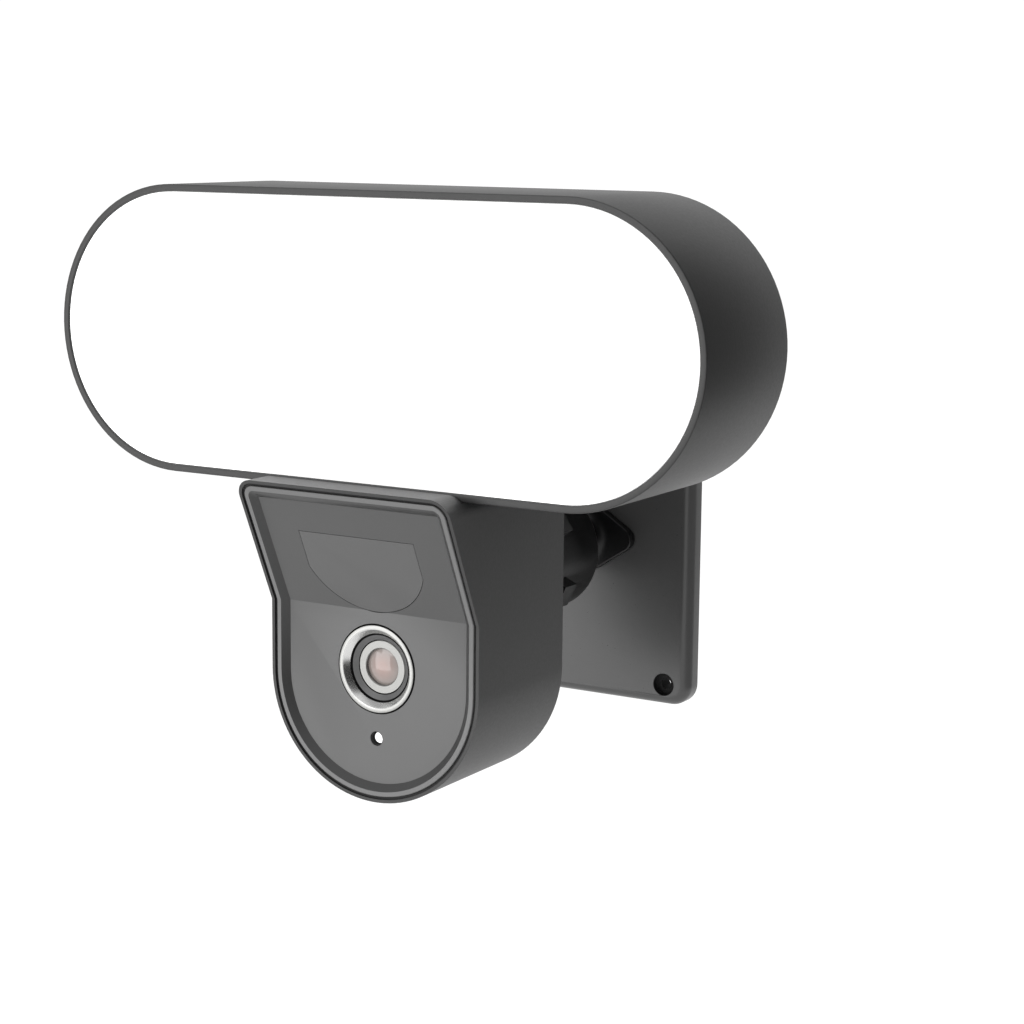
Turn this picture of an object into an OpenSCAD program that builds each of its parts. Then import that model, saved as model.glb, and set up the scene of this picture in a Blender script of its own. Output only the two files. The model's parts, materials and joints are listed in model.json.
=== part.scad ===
// Floodlight security camera: a stadium-shaped lamp on top of a camera module, both held
// off a wall plate by one lockable ball joint.
//
// Frame: millimetres, +Z up, +Y into the wall. The origin is on the wall face, at the
// centre of the wall plate and of its four screw holes. The ball's axis is the Y axis.

/* [Wall plate] */
// Width of the wall plate
plate_w = 91; // [76:1:120]
// Height of the wall plate
plate_h = 126; // [105:1:160]
// Distance of the plate's front face from the wall
plate_d = 9.2; // [8:0.1:14]
// Radius of the plate's four corners
plate_corner = 8.2; // [5:0.1:12]
// Fillet round the plate's front edge
plate_edge = 3.8; // [1:0.1:5]
// Thickness of plate left in front of the wiring recess
plate_skin = 3; // [2:0.1:4]
// Width of the wiring recess in the back of the plate
recess_w = 60; // [48:1:64]
// Height of the wiring recess in the back of the plate
recess_h = 84; // [56:1:90]
// Thickness of the foam gasket against the wall
gasket_t = 1; // [0.5:0.1:2]
// Width of the foam gasket's band
gasket_w = 3; // [2:0.1:4]
// Distance of each wall screw's centre from the plate's side
hole_in_x = 10.5; // [9:0.1:12]
// Distance of each wall screw's centre from the plate's top or bottom
hole_in_z = 8; // [8:0.1:12]
// Radius of the wall screw holes
hole_r = 2; // [1.8:0.1:3]
// Radius of the counterbore over each wall screw hole
sink_r = 4.3; // [3.5:0.1:5]
// Depth of that counterbore
sink_d = 2.4; // [1:0.1:4.5]
// Radius of the pad round each hole, which stands on the wall inside the gasket
pad_r = 4; // [3.2:0.1:4.2]

/* [Ball joint] */
// Distance of the ball's centre from the wall
ball_y = 49; // [46:0.5:60]
// Radius of the ball
ball_r = 16; // [14:0.1:17]
// Radius of the neck behind the ball
neck_r = 7.5; // [6:0.1:8]
// Radius of the round middle of the stud's foot
foot_r = 14; // [13:0.1:18]
// Radius of the foot's two ends
foot_end_r = 4.8; // [4:0.1:6]
// Distance of the foot's two screws from the axis
foot_screw_x = 17; // [16.5:0.1:22]
// Thickness of the foot on the plate
foot_t = 4; // [3:0.1:6]
// Radius of the cable channel through the stud and the arm
channel_r = 4; // [3:0.1:4.5]
// Gap between the ball, its seats and the socket
joint_gap = 0.3; // [0.2:0.05:0.4]
// Thickness of the friction seat
seat_t = 1.1; // [0.8:0.1:1.6]
// Thickness of the pressure cup
cup_t = 0.9; // [0.6:0.1:1.4]
// Half angle that the seats cover, from the axis
seat_angle = 55; // [40:1:55]
// Thickness of the socket's threaded wall
socket_wall = 2; // [1.6:0.1:3]
// Radial clearance between the socket and the collar
collar_fit = 0.1; // [0.05:0.01:0.1]
// Thickness of the collar's wall
collar_wall = 2; // [1.6:0.1:4]
// Distance of the collar's front face from the ball's centre
collar_front = 10.5; // [10:0.1:12]
// Length of the collar behind the ball's centre
collar_tail = 23; // [22:0.1:26]
// Angle from the axis at which the collar's lip lets go of the ball
lip_angle = 68; // [66:1:72]
// Radius of the collar's mouth at its front face
mouth_r = 18.6; // [17:0.1:19]
// Number of grip lugs on the collar
lug_n = 6; // [3:1:8]
// Height of each grip lug over the collar
lug_h = 4.6; // [2:0.1:6]
// Width of each grip lug
lug_w = 9; // [5:0.1:10]
// Length of each grip lug
lug_len = 8; // [5:0.1:12]
// Radius of the arm behind the socket
arm_r = 12.5; // [10:0.1:14]
// Radius of the arm's base flange
arm_base_r = 19; // [17:0.1:22]
// Thickness of the arm's base flange
arm_base_t = 4; // [3:0.1:6]

/* [Lamp] */
// Width of the lamp across its round ends
lamp_w = 251.5; // [210:0.5:300]
// Height of the lamp
lamp_h = 98; // [88:0.5:118]
// Depth of the lamp housing
lamp_d = 59; // [52:0.5:72]
// Distance of the lamp's front rim from the wall
lamp_front = 162.6; // [161:0.1:166]
// Height of the lamp's underside over the ball's axis
lamp_base = 37.1; // [34:0.1:46]
// Thickness of the housing round the diffuser, seen as the rim
lamp_wall = 2.4; // [2:0.1:3]
// Thickness of the housing's back wall
lamp_back_t = 3; // [2:0.1:5]
// Width of the ledge that carries the diffuser's seal
ledge_w = 2; // [1.5:0.1:3]
// Depth of that ledge behind the rim
ledge_d = 12; // [10:0.1:15]
// Fillet round the housing's back edge
lamp_edge = 1.6; // [0.5:0.1:3]
// Thickness of the diffuser
diffuser_t = 2.2; // [1.5:0.1:3]
// Depth of the diffuser's face behind the rim
diffuser_in = 0.4; // [0.2:0.1:1]
// Gap between the diffuser and the rim
diffuser_gap = 0.15; // [0.1:0.05:0.4]
// Thickness of the seal behind the diffuser
lamp_seal_t = 1.2; // [0.8:0.1:2]
// Thickness of the heat plate behind the LEDs
heat_t = 3; // [2:0.1:4]
// Thickness of every circuit board
board_t = 1.6; // [1:0.1:2]
// Depth of the LED board's face behind the rim
led_depth = 23.6; // [20:0.1:25]
// Spacing of the LEDs along the lamp
led_step = 22; // [16:1:30]
// Spacing of the rows of LEDs
led_row = 27; // [20:1:28]
// Side of one LED
led_side = 3.5; // [2:0.1:4]
// Width of the driver's insulating tray
tray_w = 112; // [90:1:118]
// Height of the driver's insulating tray
tray_h = 46; // [36:1:50]

/* [Camera module] */
// Width of the camera module
cam_w = 83.5; // [78:0.5:98]
// Depth of the module below the ball's axis
cam_drop = 70.5; // [66:0.5:84]
// Distance of the module's back from the wall
cam_back = 99.5; // [98:0.1:104]
// Distance of the module's lower front from the wall
cam_front = 154.4; // [150:0.1:157]
// Depth below the ball's axis of the fold across the front
fold_drop = 5; // [3:0.1:9]
// Forward lean of the front above the fold, in degrees
visor_lean = 24.8; // [21:0.1:27]
// Height of the visor's lip over the lamp's underside
visor_lip = 2.1; // [1.6:0.1:2.2]
// Radius of the module's top corners
cam_corner = 6.5; // [6:0.1:9]
// Thickness of the module's shell
cam_wall = 3; // [2.6:0.1:4]
// Width of the shell's edge seen from the front
edge_w = 1.15; // [0.8:0.05:1.5]
// Width of the parting groove round the bezel
groove_w = 1; // [0.6:0.1:1.2]
// Depth at which the seal lies in that groove
groove_d = 0.9; // [0.5:0.1:2]
// Width of the bezel
bezel_w = 2.9; // [2.5:0.1:4]
// Depth of the bezel along Y
bezel_d = 4.5; // [4:0.1:6]
// Depth of the face panel behind the bezel's rim, along Y
panel_in = 2.2; // [1.5:0.1:3]
// Clearance behind the lamp's rim where the visor passes it
visor_gap = 0.5; // [0.3:0.1:1]

/* [Front details] */
// Depth of the lens axis below the ball's axis
lens_drop = 24.8; // [22:0.1:28]
// Outer radius of the lens ring
ring_r = 15; // [13:0.1:17]
// Width of the ring's bright front face
ring_face = 1.5; // [1:0.1:2]
// Radius of the ring's inner sleeve
sleeve_r = 10.2; // [9.8:0.1:11]
// Outer radius of the lens barrel
barrel_r = 9.25; // [8:0.05:9.5]
// Depth of the barrel's face behind the panel
barrel_in = 3.3; // [2:0.1:4]
// Radius of the front lens element
glass_r = 6.4; // [5:0.1:7]
// Depth of the indicator hole below the ball's axis
indicator_drop = 48.9; // [47:0.1:52]
// Radius of the indicator hole
indicator_r = 2.5; // [2:0.1:3]
// Radius of the light pipe in that hole
pipe_r = 1.9; // [1.2:0.1:1.9]
// Width of the sensor window
window_w = 45; // [36:0.5:50]
// Height of the sensor window above the fold
window_h = 29.5; // [22:0.5:31]
// Radius of the sensor window's round underside
window_round = 24; // [23.5:0.5:30]
// Gap round the sensor window
window_gap = 0.35; // [0.2:0.05:0.5]

/* [Back details] */
// Radius of the speaker
speaker_r = 14; // [10:0.1:15]
// Depth of the speaker's centre below the ball's axis
speaker_drop = 48; // [46:0.1:50]
// Radius of each hole of the speaker's grille
grille_r = 0.9; // [0.5:0.1:1.2]
// Spacing of the grille's holes
grille_step = 4; // [3:0.1:4.5]
// Distance from the middle of the reset button, and of the card cover
side_x = 31; // [29:0.1:32]
// Radius of the reset button
reset_r = 3; // [2:0.1:4]
// Clearance round the reset button
reset_fit = 0.08; // [0.05:0.01:0.1]
// Travel of the reset button
reset_travel = 0.6; // [0.4:0.1:1]
// Width of the card cover
cover_w = 15; // [13:0.1:16]
// Height of the card cover
cover_h = 34; // [30:0.1:38]
// Thickness of the card cover
cover_t = 1.6; // [1:0.1:2]

/* [Hidden] */
$fn = 96;
// Length that a cutter runs past the body it cuts
OVER = 1;
// Step that keeps two faces of one body apart
CUT = 0.01;
// Least radius of a corner
SMALL = 0.5;

// Screws, each as [radius of the shank, radius of the head, thickness of the head]
STUD_SCREW = [1.5, 2.6, 1.6];
ARM_SCREW = [1.75, 3, 2];
LED_SCREW = [1.6, 2.8, 1.6];
JOIN_SCREW = [1.5, 2.8, 1.8];
BOARD_SCREW = [1, 2, 1.4];
COVER_SCREW = [1, 1.9, 0.9];

// Wall plate
plate_body_d = plate_d - gasket_t;
recess_d = plate_body_d - plate_skin;
gasket_in = 0.8;
hole_x = plate_w / 2 - hole_in_x;
hole_z = plate_h / 2 - hole_in_z;
grommet_r = 7;
grommet_flange = 2;
grommet_t = 1.5;
inlet_r = 3.2;

// Ball joint, with the socket's distances from the ball's centre
foot_ledge = 1;
flare_r = foot_r - foot_ledge - neck_r;
seat_in = ball_r + joint_gap;
cup_in = seat_in + seat_t + joint_gap;
socket_in = cup_in + cup_t + joint_gap;
socket_r = socket_in + socket_wall;
collar_r = socket_r + collar_fit + collar_wall;
collar_round = 3;
lug_end = 0.5;
arm_len = cam_back - ball_y;
lug_angle = -25;
lip_in = 0.2;
foot_hole_d = foot_t - 1;
arm_screw_r = 15;
arm_hole_d = 3.2;
arm_taper = 6;
channel_out_r = channel_r + 1;

// Lamp, with distances in front of the wall as positive numbers
lamp_r = lamp_h / 2;
lamp_z = lamp_base + lamp_r;
lamp_x = lamp_w / 2 - lamp_r;
lamp_back = lamp_front - lamp_d;
lamp_in = lamp_wall + ledge_w;
ledge_y = lamp_front - ledge_d;
led_y = lamp_front - led_depth;
heat_y = led_y - board_t;
post_y = heat_y - heat_t;
lamp_floor = lamp_back + lamp_back_t;
post_r = 4;
post_in = 11;
post_x = lamp_x - post_in;
post_z = lamp_r - post_in;
end_post_x = (floor((lamp_x + lamp_r / 2 - 6) / led_step) + 0.5) * led_step;
led_bite = 8;
led_t = 0.8;
led_edge = 4;
led_reach = lamp_r - lamp_in - led_edge;
led_cols = floor((lamp_x + led_reach) / led_step);
inner_gap = 0.2;
reflector_t = 1.5;
reflector_gap = 1.8;
tray_t = 1.5;
tray_wall_h = 8;
tray_post_r = 3;
tray_post_in = 6;
driver_gap = 5;
driver_inset = 0.5;
driver_y = lamp_floor + tray_t + driver_gap;
vent_x = lamp_x + lamp_r / 2;
vent_z = lamp_z - lamp_r / 2 + 5;
vent_r = 4;
vent_cap_r = 6;
vent_cap_t = 2;

// Camera module
cam_r = cam_w / 2;
cam_z = cam_r - cam_drop;
visor_z = lamp_base + visor_lip;
shell_top = lamp_base - cam_wall;
back_in = cam_back + cam_wall;
panel_y = cam_front - panel_in;
panel_t = bezel_d - panel_in;
bezel_out = edge_w + groove_w;
bezel_in = bezel_out + bezel_w;
board_y = 120;
board_w = 72;
board_low = -36;
board_high = 31;
board_post_r = 3.2;
board_bite = 8;
board_posts = [[-32, 25], [32, 25], [-29, -29], [29, -29]];
join_x = 26;
join_ys = [112, 128];
join_hole_y = 120;
join_hole_r = 7;
join_ring_r = 12;
join_ring_t = 1.2;
join_boss_h = 10;
join_bite = 8;
gasket_ring_w = 3.5;
holder_w = 26;
holder_d = 11;
ring_proud = 0.4;
ring_flange_w = 1;
ring_flange_t = 1.5;
ring_sleeve_d = 8.6;
sleeve_t = 2.3;
cone_in = 0.3;
lens_gap = 0.5;
lens_hole_r = ring_r + lens_gap;
camera_board_y = panel_y - ring_sleeve_d - holder_d;
camera_board_w = holder_w + 6;
barrel_tail = 3;
barrel_back = camera_board_y + barrel_tail;
pipe_in = 1.8;
pipe_len = 10;
pipe_flange_w = 1;
pipe_flange_t = 1.2;
status_led_t = 1.9;
window_flange_w = 2;
window_flange_t = 1;
window_flange_up = 1;
sensor_board_w = 62;
sensor_board_h = 20;
sensor_board_v = 15;
sensor_board_n = 11;
sensor_post_x = 28;
sensor_post_r = 2.5;
side_z = -3;
slot_w = 10;
slot_h = 20;
cover_screw_z = 13.5;
cover_gap = 0.15;
grille_edge = 3.4;
mic_drop = 27;
mic_hole_r = 0.8;
reset_proud = 0.4;
reset_flange_w = 1;
reset_flange_t = 1;
switch_gap = 0.2;
switch_stem_l = 2;

// Directions --------------------------------------------------------------------------

// Draws a flat shape with its second axis up, and extrudes it from "near" to "far", both
// distances in front of the wall.
module from_wall(near, far) {
    translate([0, -near, 0]) rotate([90, 0, 0]) linear_extrude(far - near) children();
}

// Turns a profile about an axis that points away from the wall, from "start".
module turned(start, x = 0, z = 0) {
    translate([x, -start, z]) rotate([90, 0, 0]) rotate_extrude() children();
}

// Round bar that points away from the wall.
module bar(r, near, far, x = 0, z = 0) {
    translate([x, -near, z]) rotate([90, 0, 0]) cylinder(r = r, h = far - near);
}

// Rectangular block, centred on x and z.
module block(w, h, near, far, x = 0, z = 0) {
    translate([x - w / 2, -far, z - h / 2]) cube([w, far - near, h]);
}

// Extrudes a (y, z) outline along X, centred.
module across(width) {
    rotate([90, 0, 90]) linear_extrude(width, center = true) children();
}

// Frame on the leaning half of the panel: +Y up the slope, +Z out of it.
module on_visor() {
    translate([0, -panel_y, -fold_drop]) rotate([90 + visor_lean, 0, 0]) children();
}

// Screw with its shank from "near" to "far" and its head past one of those ends.
module screw(size, near, far, x = 0, z = 0, head_far = true) {
    bar(size[0], near, far, x, z);
    if (head_far) bar(size[1], far, far + size[2], x, z);
    else bar(size[1], near - size[2], near, x, z);
}

// Outlines ----------------------------------------------------------------------------

module rounded(w, h, r) {
    square([w - 2 * r, h], center = true);
    square([w, h - 2 * r], center = true);
    for (x = [-1, 1], z = [-1, 1]) {
        translate([x * (w / 2 - r), z * (h / 2 - r)]) circle(r = r);
    }
}

module stadium(inset) {
    r = lamp_r - inset;
    translate([0, lamp_z]) {
        square([2 * lamp_x, 2 * r], center = true);
        for (x = [-lamp_x, lamp_x]) translate([x, 0]) circle(r = r);
    }
}

// Outline of the camera module: straight sides, round bottom and soft top corners.
module module_outline(inset, top) {
    r = cam_r - inset;
    c = max(cam_corner - inset, SMALL);
    high = top - inset - c;
    translate([0, cam_z]) circle(r = r);
    translate([-r, cam_z]) square([2 * r, high - cam_z]);
    translate([c - r, cam_z]) square([2 * (r - c), high + c - cam_z]);
    for (x = [-1, 1]) translate([x * (r - c), high]) circle(r = c);
}

// Distance from the wall of the module's front surface at height z.
function front_at(z) = cam_front + max(0, z + fold_drop) * tan(visor_lean);

// Region of the (y, z) plane between two depths behind the module's front surface.
module front_sheet(near, far) {
    low = -cam_drop - OVER;
    high = visor_z + OVER;
    polygon([
        [near - front_at(low), low], [near - cam_front, -fold_drop],
        [near - front_at(high), high], [far - front_at(high), high],
        [far - cam_front, -fold_drop], [far - front_at(low), low]
    ]);
}

// Band of the module's front between two insets and two depths.
module front_band(out_inset, in_inset, near, far) {
    intersection() {
        from_wall(cam_back, front_at(visor_z) + OVER) difference() {
            module_outline(out_inset, visor_z);
            module_outline(in_inset, visor_z);
        }
        across(cam_w) front_sheet(near, far);
    }
}

// D-shaped outline of the sensor window, up from the fold.
module window_outline(grow) {
    intersection() {
        translate([-window_w / 2 - grow, -grow]) square([window_w + 2 * grow, window_h + 2 * grow]);
        translate([0, window_round]) circle(r = window_round + grow);
    }
}

// Wall plate --------------------------------------------------------------------------

// Half section of the plate's body across a width: square at the back, filleted in front.
module plate_section(w) {
    e = plate_edge;
    translate([-w / 2, gasket_t]) square([w, plate_body_d - e]);
    translate([-w / 2 + e, gasket_t]) square([w - 2 * e, plate_body_d]);
    for (s = [-1, 1]) translate([s * (w / 2 - e), plate_d - e]) circle(r = e);
}

module plate_corner_post() {
    intersection() {
        plate_section(2 * plate_corner);
        square([plate_corner, plate_d]);
    }
}

module wall_plate() {
    color("#4a4a4a") difference() {
        union() {
            translate([0, 0, plate_corner - plate_h / 2]) linear_extrude(plate_h - 2 * plate_corner)
                mirror([0, 1]) plate_section(plate_w);
            rotate([0, 90, 0]) linear_extrude(plate_w - 2 * plate_corner, center = true)
                mirror([0, 1]) plate_section(plate_h);
            for (x = [-1, 1], z = [-1, 1]) {
                turned(0, x * (plate_w / 2 - plate_corner), z * (plate_h / 2 - plate_corner))
                    plate_corner_post();
            }
            for (x = [-hole_x, hole_x], z = [-hole_z, hole_z]) bar(pad_r, 0, plate_d - sink_d, x, z);
        }
        from_wall(gasket_t - OVER, gasket_t + recess_d) rounded(recess_w, recess_h, plate_corner / 2);
        bar(grommet_r, 0, plate_d + OVER);
        for (x = [-hole_x, hole_x], z = [-hole_z, hole_z]) {
            bar(hole_r, -OVER, plate_d + OVER, x, z);
            bar(sink_r, plate_d - sink_d, plate_d + OVER, x, z);
        }
        foot_screw_places() bar(STUD_SCREW[0], 0, plate_d + OVER);
    }
}

module wall_gasket() {
    color("#202020") from_wall(0, gasket_t) difference() {
        rounded(plate_w - 2 * gasket_in, plate_h - 2 * gasket_in, plate_corner - gasket_in);
        rounded(plate_w - 2 * (gasket_in + gasket_w), plate_h - 2 * (gasket_in + gasket_w),
                max(plate_corner - gasket_in - gasket_w, SMALL));
    }
}

// Rubber grommet that guides the supply cable through the plate.
module cable_grommet() {
    skin_y = plate_d - plate_skin;
    color("#181818") turned(skin_y - grommet_t) difference() {
        union() {
            square([grommet_r + grommet_flange, grommet_t]);
            square([grommet_r, grommet_t + plate_skin]);
        }
        translate([0, -OVER]) square([inlet_r, grommet_t + plate_skin + 2 * OVER]);
    }
}

// Ball joint --------------------------------------------------------------------------

module foot_screw_places() {
    for (x = [-foot_screw_x, foot_screw_x]) translate([x, 0, 0]) children();
}

// Two-bolt flange: a round middle and two round ends, joined by their common tangents.
module foot_outline() {
    a = acos((foot_r - foot_end_r) / foot_screw_x);
    far = foot_screw_x + foot_end_r * cos(a);
    circle(r = foot_r);
    for (x = [-1, 1]) translate([x * foot_screw_x, 0]) circle(r = foot_end_r);
    polygon([
        [foot_r * cos(a), foot_r * sin(a)], [far, foot_end_r * sin(a)],
        [far, -foot_end_r * sin(a)], [foot_r * cos(a), -foot_r * sin(a)],
        [-foot_r * cos(a), -foot_r * sin(a)], [-far, -foot_end_r * sin(a)],
        [-far, foot_end_r * sin(a)], [-foot_r * cos(a), foot_r * sin(a)]
    ]);
}

module arm_screw_places() {
    for (a = [45 : 90 : 315]) {
        translate([arm_screw_r * cos(a), 0, arm_screw_r * sin(a)]) children();
    }
}

// Foot, concave flare, neck and ball in one piece, with the cable channel through it.
module ball_stud() {
    foot_top = plate_d + foot_t;
    flare_out_r = foot_r - foot_ledge;
    color("#151515") difference() {
        union() {
            from_wall(plate_d, foot_top) foot_outline();
            turned(0) difference() {
                union() {
                    translate([0, foot_top - OVER]) square([flare_out_r, flare_r + OVER]);
                    translate([0, foot_top]) square([neck_r, ball_y - foot_top]);
                    intersection() {
                        translate([0, ball_y]) circle(r = ball_r);
                        translate([0, ball_y - ball_r]) square([ball_r, 2 * ball_r]);
                    }
                }
                translate([flare_out_r, foot_top + flare_r]) circle(r = flare_r);
            }
        }
        bar(channel_r, 0, ball_y + ball_r + OVER);
        foot_screw_places() bar(STUD_SCREW[0], 0, plate_d + foot_hole_d);
    }
}

module stud_screws() {
    skin_y = plate_d - plate_skin;
    color("silver") foot_screw_places()
        screw(STUD_SCREW, skin_y, plate_d + foot_hole_d, head_far = false);
}

// Zone of a spherical shell round the axis, on the side away from the wall.
module seat_shell(r_in, r_out) {
    reach = 2 * r_out;
    translate([0, -ball_y, 0]) rotate([90, 0, 0]) rotate_extrude() difference() {
        intersection() {
            circle(r = r_out);
            polygon([
                [0, 0], [reach * tan(seat_angle), reach], [0, reach]
            ]);
        }
        circle(r = r_in);
        translate([-OVER, 0]) square([channel_out_r + 2 * joint_gap, reach]);
    }
}

module friction_seat() {
    color("#d8d2c4") seat_shell(seat_in, seat_in + seat_t);
}

module pressure_cup() {
    color("silver") seat_shell(cup_in, cup_in + cup_t);
}

// Ring nut: a bore over the socket, a spherical lip over the ball, a mouth that clears
// the neck, and grip lugs.
module locking_collar() {
    front = -collar_front;
    lip_r = (seat_in - lip_in) * sin(lip_angle);
    lip_s = (lip_in - seat_in) * cos(lip_angle);
    bore = socket_r + collar_fit;
    color("#1b1b1b") translate([0, -ball_y, 0]) rotate([90, 0, 0]) {
        rotate_extrude() difference() {
            union() {
                translate([0, front + collar_round]) square([collar_r, collar_tail - front - collar_round]);
                translate([0, front]) square([collar_r - collar_round, collar_round + OVER]);
                translate([collar_r - collar_round, front + collar_round]) circle(r = collar_round);
            }
            translate([-OVER, joint_gap]) square([bore + OVER, collar_tail + OVER]);
            circle(r = seat_in);
            polygon([
                [0, front - OVER], [mouth_r, front - OVER], [mouth_r, front], [lip_r, lip_s], [0, lip_s]
            ]);
        }
        for (i = [0 : lug_n - 1]) rotate([0, 0, lug_angle + i * 360 / lug_n]) {
            translate([bore + collar_wall / 2, -lug_w / 2, collar_tail - lug_end - lug_len])
                cube([collar_wall / 2 + lug_h, lug_w, lug_len]);
        }
    }
}

// Socket round the seats, tapered arm and base flange on the camera module.
module socket_arm() {
    tail = collar_tail;
    color("#151515") difference() {
        translate([0, -ball_y, 0]) rotate([90, 0, 0]) rotate_extrude() difference() {
            union() {
                translate([0, 2 * joint_gap]) square([socket_r, tail - 2 * joint_gap]);
                polygon([
                    [0, tail], [socket_r, tail], [arm_r, arm_len - arm_base_t - arm_taper],
                    [arm_r, arm_len], [0, arm_len]
                ]);
                translate([0, arm_len - arm_base_t]) square([arm_base_r, arm_base_t]);
            }
            circle(r = socket_in);
            square([channel_out_r, arm_len + OVER]);
        }
        arm_screw_places() bar(ARM_SCREW[0], cam_back - arm_hole_d, cam_back + OVER);
    }
}

module arm_screws() {
    color("silver") arm_screw_places() screw(ARM_SCREW, cam_back - arm_hole_d, back_in);
}

// Lamp --------------------------------------------------------------------------------

// Half section of the lamp's body: square at the front rim, filleted at the back.
module lamp_section() {
    e = lamp_edge;
    translate([0, lamp_back + e]) square([lamp_r, lamp_d - e]);
    translate([0, lamp_back]) square([lamp_r - e, lamp_d]);
    translate([lamp_r - e, lamp_back + e]) circle(r = e);
}

module lamp_posts(r, near, far) {
    for (x = [-post_x, post_x], z = [-post_z, post_z]) bar(r, near, far, x, lamp_z + z);
    for (x = [-end_post_x, end_post_x]) bar(r, near, far, x, lamp_z);
}

module join_places() {
    for (x = [-join_x, join_x], y = join_ys) translate([x, -y, 0]) children();
}

module lamp_housing() {
    color("#484848") difference() {
        union() {
            difference() {
                union() {
                    for (x = [-lamp_x, lamp_x]) turned(0, x, lamp_z) lamp_section();
                    translate([0, 0, lamp_z]) rotate([0, 90, 0])
                        linear_extrude(2 * lamp_x, center = true) mirror([0, 1]) {
                            lamp_section();
                            mirror([1, 0]) lamp_section();
                        }
                }
                from_wall(lamp_floor, lamp_front + OVER) stadium(lamp_in);
                from_wall(ledge_y, lamp_front + OVER) stadium(lamp_wall);
            }
            lamp_posts(post_r, lamp_floor - OVER, post_y);
            join_places() translate([0, 0, lamp_base + OVER]) cylinder(r = post_r, h = join_boss_h - OVER);
        }
        lamp_posts(LED_SCREW[0], post_y - led_bite, post_y + OVER);
        join_places() translate([0, 0, lamp_base - OVER]) cylinder(r = JOIN_SCREW[0], h = join_bite + OVER);
        translate([0, -join_hole_y, lamp_base - OVER]) cylinder(r = join_hole_r, h = lamp_in + 2 * OVER);
        bar(vent_r, lamp_back - OVER, lamp_floor + OVER, vent_x, vent_z);
    }
}

// Opal front: a flat face with a skirt that stands on the seal.
module lamp_diffuser() {
    out_inset = lamp_wall + diffuser_gap;
    face_y = lamp_front - diffuser_in;
    color("#fafafa") difference() {
        from_wall(ledge_y + lamp_seal_t, face_y) stadium(out_inset);
        from_wall(ledge_y, face_y - diffuser_t) stadium(lamp_in);
    }
}

module diffuser_seal() {
    color("#303030") from_wall(ledge_y, ledge_y + lamp_seal_t) difference() {
        stadium(lamp_wall + diffuser_gap);
        stadium(lamp_in);
    }
}

// White wall between the LED board and the diffuser.
module reflector_frame() {
    front = lamp_front - diffuser_in - diffuser_t - reflector_gap;
    color("white") from_wall(led_y, front) difference() {
        stadium(lamp_in + inner_gap);
        stadium(lamp_in + inner_gap + reflector_t);
    }
}

module led_board() {
    color("#f0f0ea") difference() {
        from_wall(heat_y, led_y) stadium(lamp_in + inner_gap);
        lamp_posts(LED_SCREW[0], heat_y - OVER, led_y + OVER);
    }
}

// Surface-mounted LEDs in three rows, kept inside the board's round ends.
module led_chips() {
    color("#ffe9a0") for (i = [-led_cols : led_cols], j = [-1 : 1]) {
        over = max(0, abs(i * led_step) - lamp_x);
        if (norm([over, j * led_row]) < led_reach) {
            block(led_side, led_side, led_y, led_y + led_t, i * led_step, lamp_z + j * led_row);
        }
    }
}

module heat_plate() {
    color("silver") difference() {
        from_wall(post_y, heat_y) stadium(lamp_in + inner_gap);
        lamp_posts(LED_SCREW[0], post_y - OVER, heat_y + OVER);
    }
}

module led_screws() {
    color("silver") {
        lamp_posts(LED_SCREW[0], post_y - led_bite, led_y);
        lamp_posts(LED_SCREW[1], led_y, led_y + LED_SCREW[2]);
    }
}

module driver_tray() {
    color("#e8e8e8") translate([0, 0, lamp_z]) difference() {
        block(tray_w, tray_h, lamp_floor, lamp_floor + tray_t + tray_wall_h);
        block(tray_w - 2 * tray_t, tray_h - 2 * tray_t, lamp_floor + tray_t, lamp_floor + 2 * tray_wall_h);
    }
    color("#e8e8e8") for (x = [-1, 1], z = [-1, 1]) {
        bar(tray_post_r, lamp_floor + tray_t, driver_y,
            x * (tray_w / 2 - tray_post_in), lamp_z + z * (tray_h / 2 - tray_post_in));
    }
}

module driver_board() {
    edge = 2 * (tray_t + driver_inset);
    color("#2c6e3f") block(tray_w - edge, tray_h - edge, driver_y, driver_y + board_t, 0, lamp_z);
}

// Wound core between the two ends of its bobbin.
module driver_transformer() {
    y = driver_y + board_t;
    core_w = 22;
    end_w = 5;
    middle = 6;
    color("#d8c070") block(core_w, 18, y, y + 16, middle, lamp_z);
    color("#303030") for (x = [-1, 1]) {
        block(end_w, 24, y, y + 13, middle + x * (core_w + end_w) / 2, lamp_z);
    }
}

module driver_capacitors() {
    y = driver_y + board_t;
    // Each pair as [radius, height, place along the board]
    pairs = [[6, 15, -22], [5, 12, 36]];
    spread = 7.5;
    color("#30486e") for (c = pairs, z = [-spread, spread]) {
        bar(c[0], y, y + c[1], c[2], lamp_z + z);
    }
}

// Breather plug: lets the lamp's air in and out and keeps water out.
module vent_plug() {
    color("#202020") {
        bar(vent_r, lamp_back, lamp_floor, vent_x, vent_z);
        bar(vent_cap_r, lamp_back - vent_cap_t, lamp_back, vent_x, vent_z);
    }
}

module join_gasket() {
    color("#202020") translate([0, -join_hole_y, lamp_base - join_ring_t]) difference() {
        cylinder(r = join_ring_r, h = join_ring_t);
        translate([0, 0, -OVER]) cylinder(r = join_ring_r - gasket_ring_w, h = join_ring_t + 2 * OVER);
    }
}

module join_screws() {
    color("silver") join_places() {
        translate([0, 0, shell_top]) cylinder(r = JOIN_SCREW[0], h = cam_wall + join_bite);
        translate([0, 0, shell_top - JOIN_SCREW[2]]) cylinder(r = JOIN_SCREW[1], h = JOIN_SCREW[2]);
    }
}

// Camera module -----------------------------------------------------------------------

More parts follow.
